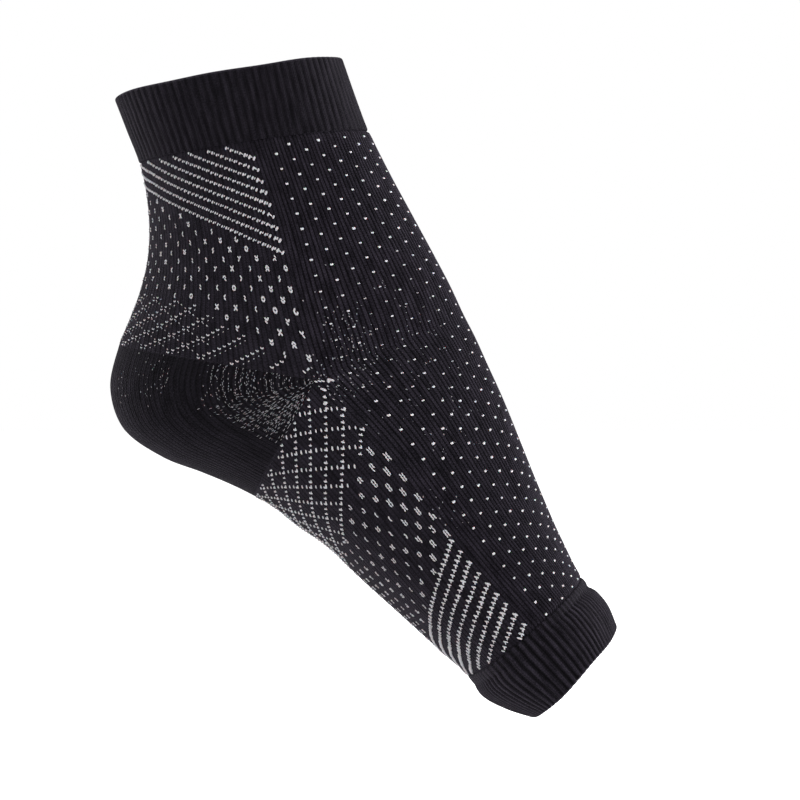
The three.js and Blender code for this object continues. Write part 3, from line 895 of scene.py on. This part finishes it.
# %% Dots on the front panel
DOTS_APART = 6
dots_between = lattice(np.arange(4, 37, 8), DOTS_APART * np.arange(-1, 33))
dots_in_line = lattice(np.arange(0, 33, 8), DOTS_APART * (np.arange(-1, 32) + 0.5))
dots = np.concatenate([dots_between, dots_in_line], axis=1)
wale, course = dots
# By the ankle the black is stretched over the dots, so they are smaller there
by_ankle = np.clip(1.3 - np.abs(course - 73) / 30, 0, 1) * np.clip((wale - 2) / 14, 0, 1)
size = (1.0 - 0.32 * by_ankle) * uneven(len(wale), 0.1)
yarn_piece("instep_dots", stitches(wale, course, size), thick=0.0003, outer=0.2, inner=0.1, reach=0.38,
           yarn=white_yarn)

# %% Stripes behind the leg
LEG_STRIPE, LEG_STRIPES_APART = 0.4, 4.7
LEG_CLIMB, LEG_CLIMB_BEHIND, LEG_BEND = 0.92, 0.65, 74
FAT_LEG, THIN_LEG = 1.06, 0.74
STRIPES, JITTER = 9, 0.14


def leg_stripe(line, wale):
    """The course of a leg stripe at a wale: its line's course at the side, less a climb, gentler behind."""
    climbed = LEG_CLIMB * (np.minimum(wale, LEG_BEND) - SIDE_WALE)
    return LEG_STRIPE + LEG_STRIPES_APART * line - climbed - LEG_CLIMB_BEHIND * np.maximum(0, wale - LEG_BEND)


# A fat leg of yarn on each wale and a thin one between two, with every second line shifted by half a wale
line, wale = (part.ravel() for part in np.meshgrid(np.arange(float(STRIPES)), np.arange(41.9, 84.3, 0.5)))
wale = wale + 0.5 * (line % 2) * (wale > SIDE_WALE + 1)
by_panel = np.clip((46 - wale) / 3, 0, 1)
between = np.abs(wale - np.round(wale)) > 0.25
size = (0.98 + 0.35 * by_panel) * np.where(between, THIN_LEG, FAT_LEG) * uneven(len(wale), 0.14)
kind = np.where(between & (rng.uniform(0, 1, len(wale)) < 0.55 * by_panel), 1, -1)
course = leg_stripe(line, wale) + np.where(between, -0.2, 0.1) + rng.uniform(-JITTER, JITTER, len(wale))
yarn_piece("leg_stripes", stitches(wale, course, size, kind), thick=0.00026, outer=0.2, inner=-0.16,
           reach=0.5)

# %% Dashes above the heel
# The border between the dashes and the rows below them, as wales and places along the tube
DENSE_TOP = [(42, -0.001), (48, -0.007), (52, -0.011), (54, -0.014), (60, -0.021), (64, -0.025),
             (70, -0.0275), (74, -0.0285), (84, -0.030)]


def dashes(wale, course, size, height, step, v_share):
    """Each dash as a short pile of stitches: whole Vs for a share of them, and else the same leg of each.
    Some stitches of a pile lie upside down, so that a dash can look like a v, an x or a small ring."""
    is_v = rng.uniform(0, 1, len(wale)) < v_share
    leg = rng.choice([1, -1], len(wale))
    piles = []
    for level in range(height):
        kind = np.where(is_v & (rng.uniform(0, 1, len(wale)) < 0.85), 0, leg)
        turn = rng.choice([1, 1, -1], len(wale))
        piles.append(stitches(wale, course + step * (level - (height - 1) / 2), size, kind, turn))
    return np.concatenate(piles)


def dash_lattice(first_course, rows):
    """Dashes on every fourth wale and eighth course, and again two wales and four courses further on."""
    first = lattice(np.arange(SIDE_WALE, BACK_WALE + 1, 4), first_course + 8 * rows)
    second = lattice(np.arange(SIDE_WALE + 2, BACK_WALE + 1, 4), first_course + 4 + 8 * rows)
    return np.concatenate([first, second], axis=1)


wale, course = dash_lattice(20, np.arange(-3, 9))
place = course_place(course, wale)
chosen = course > leg_stripe(STRIPES - 1, wale) + 3.2
chosen &= place < border(DENSE_TOP, wale, course) - AREA_ROOM
wale, course = wale[chosen], course[chosen]
size = (1.02 - 0.006 * (wale - SIDE_WALE)) * uneven(len(wale), 0.12)
ankle_dashes = dashes(wale, course, size, 2, 1.15, np.clip(0.95 - (wale - SIDE_WALE) / 30, 0.25, 1))
yarn_piece("ankle_dashes", ankle_dashes, thick=0.00022, outer=0.31, inner=0.07, reach=0.6)


# %% Rows of stitches above the heel
ROW_SLOPE = 4 / 3


def sloping_rows(first_course, lines, wales, slope, at_wale):
    """Stitches, one a wale, along rows 8 courses apart that fall by a slope of courses a wale."""
    line, wale = (part.ravel() for part in np.meshgrid(lines.astype(float), wales.astype(float)))
    return wale, first_course + 8 * line + slope * (wale - at_wale)


# Three sets of rows: first course, slope, first wale, the wale where that course is counted, size and kind
row_sets = (
    (64, ROW_SLOPE, 44, 60, 0.78, 0),
    (65.9, ROW_SLOPE, 50, 60, 0.55, -1),
    (64, -ROW_SLOPE, 60, 63, 0.66, 1),
)
rows = []
for first_course, slope, first_wale, at_wale, size, kind in row_sets:
    wales = np.arange(first_wale, BACK_WALE + 1)
    wale, course = sloping_rows(first_course, np.arange(-4, 12), wales, slope, at_wale)
    place = course_place(course, wale)
    chosen = (place > border(DENSE_TOP, wale, course)) & (place < 0)
    wale, course = wale[chosen], course[chosen]
    rows.append(stitches(wale, course, size * uneven(len(wale), 0.14), kind))
yarn_piece("heel_top_rows", np.concatenate(rows), thick=0.0002, outer=0.3, reach=0.42)

# %% The diamond net on the arch
# The border between the net and the dashes beyond it, as wales and places along the tube
ARCH_END = [(40.5, 0.027), (53.4, 0.033), (60.8, 0.040), (69.3, 0.0476), (73, 0.0504), (84, 0.055)]
NET_START = 95
rows = []
for slope, kind, lines in ((ROW_SLOPE, 1, np.arange(-12, 16)), (-ROW_SLOPE, -1, np.arange(0, 16))):
    wales = np.arange(SIDE_WALE, BACK_WALE + 1)
    wale, course = sloping_rows(NET_START, lines, wales, slope, SIDE_WALE)
    place = course_place(course, wale)
    chosen = (place > NET_ROOM) & (place < border(ARCH_END, wale, course))
    wale, course = wale[chosen], course[chosen]
    size = 0.95 * uneven(len(wale), 0.14)
    rows.append(stitches(wale, course, size, kind))
    if kind == 1:
        rows.append(stitches(wale, course, 0.6 * size, -1))
yarn_piece("arch_net", np.concatenate(rows), thick=0.00028, outer=0.36, inner=-0.04, reach=0.56)

# %% Dashes along the foot
TOE_STRIPE, TOE_STRIPES_APART = 149.2, 5
SOLE_FALL, SOLE_BEND = 0.68, 62


def toe_stripe(line, wale):
    """The course of a toe stripe at a wale: its line's first, a course more a wale, less under the sole."""
    beside = TOE_STRIPE + TOE_STRIPES_APART * line + np.minimum(wale, SOLE_BEND) - SIDE_WALE
    return beside + SOLE_FALL * np.maximum(0, wale - SOLE_BEND)


wale, course = dash_lattice(106, np.arange(-1, 10))
place = course_place(course, wale)
chosen = course < toe_stripe(0, wale) - 3
chosen &= place > border(ARCH_END, wale, course) + AREA_ROOM
wale, course = wale[chosen], course[chosen]
size = (1.05 - 0.008 * (wale - SIDE_WALE)) * uneven(len(wale), 0.1)
near_panel = wale < 50
foot_dashes = np.concatenate([
    dashes(wale[near_panel], course[near_panel], size[near_panel], 3, 0.95, 1.0),
    dashes(wale[~near_panel], course[~near_panel], size[~near_panel], 2, 1.0, 0.5),
])
yarn_piece("foot_dashes", foot_dashes, thick=0.0002, outer=0.33, inner=0.17, reach=0.52)

# %% Stripes before the toe band
# A whole leg of yarn on each wale, and a smaller one that leans the other way beside it
line, wale = (part.ravel() for part in np.meshgrid(np.arange(float(STRIPES)), np.arange(42, 85.0)))
by_panel = np.clip((50 - wale) / 8, 0, 1)
size = (1.02 + 0.24 * by_panel) * uneven(len(wale), 0.16)
course = toe_stripe(line, wale) + rng.uniform(-JITTER, JITTER, len(wale))
small = rng.uniform(0.6, 1.0, len(wale)) * size
toe_stripes = [stitches(wale, course, size, 1), stitches(wale + 0.45, course + 0.4, small, -1)]
yarn_piece("toe_stripes", np.concatenate(toe_stripes), thick=0.00025, outer=0.36, inner=-0.1, reach=0.64)

# %% The tight stitches at the ankle point
# The knot's rows are wale, course, size, kind and turn, like those of the charts
knot = np.array([
    (43.2, 82.5, 1.2, 0, 1), (43.2, 83.3, 1.2, 0, -1), (42.0, 83.4, 0.8, 1, 1), (41.4, 83.6, 0.8, 1, 1),
    (40.9, 83.9, 0.8, 1, 1), (39.9, 84.3, 1.3, 0, -1), (41.9, 86.6, 1.3, 1, 1), (42.9, 88.4, 1.1, 1, 1),
    (43.2, 88.3, 0.6, -1, 1), (43.6, 89.6, 1.1, 1, 1), (44.3, 91.0, 1.0, 1, 1),
    (43.4, 80.9, 0.8, 1, 1), (42.9, 79.8, 0.9, -1, 1),
])
yarn_piece("ankle_knot", stitches(*knot.T), thick=0.00027, outer=0.36, inner=0.0, reach=0.55)

# %% [markdown]
# ## White yarn behind the black
# Where the knit is stretched over the ankle, the white yarn that floats behind it shows through as small
# greyish specks. They could be noise in the black material, but noise doesn't keep to the rows of the knit,
# and these do. They are the same small strands, thinner and in a shaded white. Low on the heel they lie
# across the wales, as a float does between two stitches.

# %% Specks on the panel
def soft_box(value, low, high, edge):
    """1 between two limits, falling to 0 over the width of the edge outside them."""
    return np.clip(1 + (value - low) / edge, 0, 1) * np.clip(1 + (high - value) / edge, 0, 1)


def chosen_specks(share):
    """Where specks show: by chance, with the share as the odds."""
    return rng.uniform(0, 1, share.shape) < share


def speck_chart(wale, course, size):
    """Single legs of random lean and size, a little off their places in the knit."""
    count = len(wale)
    off = rng.uniform(-0.3, 0.3, (2, count))
    kind = rng.choice([1, -1], count)
    return np.column_stack([wale + off[0], course + off[1], size * uneven(count, 0.35), kind, np.ones(count)])


# Patches on the panel by the ankle: wale from and to, course from and to, and the odds of a speck
speck_patches = np.array([
    (30, 37, 62, 74, 0.55), (29, 41, 75, 82, 0.45), (33, 42, 82, 92, 0.45),
    (22, 32, 112, 124, 0.15), (36, 41, 132, 146, 0.16), (16, 40, 56, 112, 0.07),
])
wale, course = lattice(np.arange(14, 43), np.arange(40, 160))
left, right, first, last, odds = speck_patches.T[:, :, None]
share = (soft_box(wale, left, right, 2) * soft_box(course, first, last, 3) * odds).max(axis=0)
shown = chosen_specks(share)
panel = speck_chart(wale[shown], course[shown], 0.6)
# By the ankle a speck also lies beside each dot, where the dot's yarn runs on behind the black
wale, course = dots
shown = chosen_specks(np.clip(1.2 - np.abs(course - 76) / 28, 0, 1) * np.clip((wale - 6) / 14, 0, 1))
twins = speck_chart(wale[shown] + 1.1, course[shown], 0.6)
yarn_piece("panel_specks", np.concatenate([panel, twins]), thick=0.00022, outer=0.25, reach=0.4,
           yarn=shaded_yarn)

# %% Specks and floats on the heel
# Specks are short ticks along the wales, most by the ankle and a few at the back. Some wales show more
wale, course = lattice(np.arange(SIDE_WALE + 1, BACK_WALE), np.arange(1, 88))
turn = course * COURSE_STEP / HEEL_ARC
by_row = rng.uniform(0.35, 1, BACK_WALE)[wale.astype(int)]
room = np.minimum(1, (wale - SIDE_WALE) / SIDE_WALE * 1.6)
upper = soft_box(turn, 0.04, 0.26, 0.16) * soft_box(wale, 44, 57, 5) * 1.7
back = soft_box(turn, 0.04, 0.22, 0.05) * soft_box(wale, 68, 76, 3) * 0.4
shown = chosen_specks(np.maximum(upper, back) * by_row * room)
yarn_piece("heel_specks", speck_chart(wale[shown], course[shown], 0.5), thick=0.00019, outer=0.15,
           reach=0.45, frame_of=heel_frame, yarn=shaded_yarn)

# Floats lie across the wales, and some courses show more of them
by_course = rng.uniform(0.3, 1, 88)[course.astype(int)]
lower = soft_box(turn, 0.5, 0.97, 0.25) * soft_box(wale + 7 * turn, 48, 60, 5) * 2
shown = chosen_specks(lower * by_course * room)
yarn_piece("heel_floats", speck_chart(wale[shown], course[shown], 0.45), thick=0.00016, outer=0.75,
           inner=-0.75, reach=0.12, frame_of=heel_frame, yarn=shaded_yarn)

# %% [markdown]
# ## Stage, light and camera
# The sock is photographed on plain white in soft light from both sides, from level with the ankle. The
# floor is one large pale disc, and the world is brighter behind the sock than in front, which lights the
# edges of the black. Small lamps would do the same, but they would put hard glints on the ribs, which a
# matt yarn doesn't have, so the lights are large squares.

# %% Floor
FLOOR, FLOOR_GLOW = -0.142, 0.55
disc = bmesh.new()
bmesh.ops.create_circle(disc, cap_ends=True, segments=96, radius=14.0)
floor_mesh = bpy.data.meshes.new("floor")
disc.to_mesh(floor_mesh)
disc.free()
floor_mesh.transform(Matrix.Translation((0, 0, FLOOR)))
floor = bpy.data.objects.new("floor", floor_mesh)
bpy.context.scene.collection.objects.link(floor)
floor_material, floor_tree, floor_shader = start_material(
    "pale floor", Roughness=0.9, Specular_IOR_Level=0.1, Emission_Color=(1, 1, 1, 1))
floor_place = put(floor_tree, "ShaderNodeTexCoord").outputs["Object"]
floor_noise = put(floor_tree, "ShaderNodeTexNoise", {"Vector": floor_place, "Scale": 3.0}).outputs["Fac"]
floor_tone = mix_colour(floor_tree, floor_noise, (0.92, 0.92, 0.92, 1), (0.95, 0.95, 0.95, 1))
floor_tree.links.new(floor_tone, floor_shader.inputs["Base Color"])
floor_seen = put(floor_tree, "ShaderNodeLightPath").outputs["Is Camera Ray"]
floor_glow = maths(floor_tree, "MULTIPLY", floor_seen, FLOOR_GLOW)
floor_tree.links.new(floor_glow, floor_shader.inputs["Emission Strength"])
floor_mesh.materials.append(floor_material)
print(f"floor at {FLOOR * 1000:.0f} mm")

# %% World
world = bpy.data.worlds.new("white studio")
bpy.context.scene.world = world
world.use_nodes = True
world_tree = world.node_tree
world_way = put(world_tree, "ShaderNodeTexCoord").outputs["Generated"]
world_part = put(world_tree, "ShaderNodeSeparateXYZ", [world_way]).outputs["Y"]
behind_sock = put(world_tree, "ShaderNodeMapRange", {
    "Value": world_part, "From Min": -0.9, "From Max": 0.3, "To Min": 0.27, "To Max": 0.95}).outputs[0]
seen = put(world_tree, "ShaderNodeLightPath").outputs["Is Camera Ray"]
background = world_tree.nodes["Background"]
background.inputs["Color"].default_value = (1, 1, 1, 1)
world_tree.links.new(maths(world_tree, "MAXIMUM", behind_sock, seen), background.inputs["Strength"])


# %% Lights
def soft_light(name, place, aim, size, power):
    """A square area light at a place, turned to face its aim."""
    lamp = bpy.data.lights.new(name, "AREA")
    lamp.size, lamp.energy = size, power
    stand = bpy.data.objects.new(name, lamp)
    stand.location = place
    stand.rotation_euler = (Vector(aim) - Vector(place)).to_track_quat("-Z", "Y").to_euler()
    bpy.context.scene.collection.objects.link(stand)
    print(f"{name}: {power} W")


soft_light("key", (1.2, -0.8, 0.7), (0, 0, 0), 0.8, 18)
soft_light("fill", (-1.2, -0.7, 0.4), (0, 0, 0), 0.9, 7)
soft_light("top", (0.1, 0.1, 1.3), (0, 0, 0), 1.0, 6)
soft_light("rear left", (-1.2, 0.5, 0.4), (0, 0, 0), 0.7, 11)
soft_light("rear right", (1.2, 0.5, 0.3), (0, 0, 0), 0.7, 10)

# %% Camera
CAMERA_PLACE, CAMERA_LENS = (0.02952, -1.296, -0.00684), 162
camera_data = bpy.data.cameras.new("camera")
camera_data.lens, camera_data.sensor_width = CAMERA_LENS, 36
camera = bpy.data.objects.new("camera", camera_data)
camera.location = CAMERA_PLACE
camera.rotation_euler = (math.radians(90), 0, 0)
bpy.context.scene.collection.objects.link(camera)
bpy.context.scene.camera = camera
bpy.context.scene.view_settings.view_transform = "Standard"
print(f"camera: {CAMERA_LENS} mm lens")
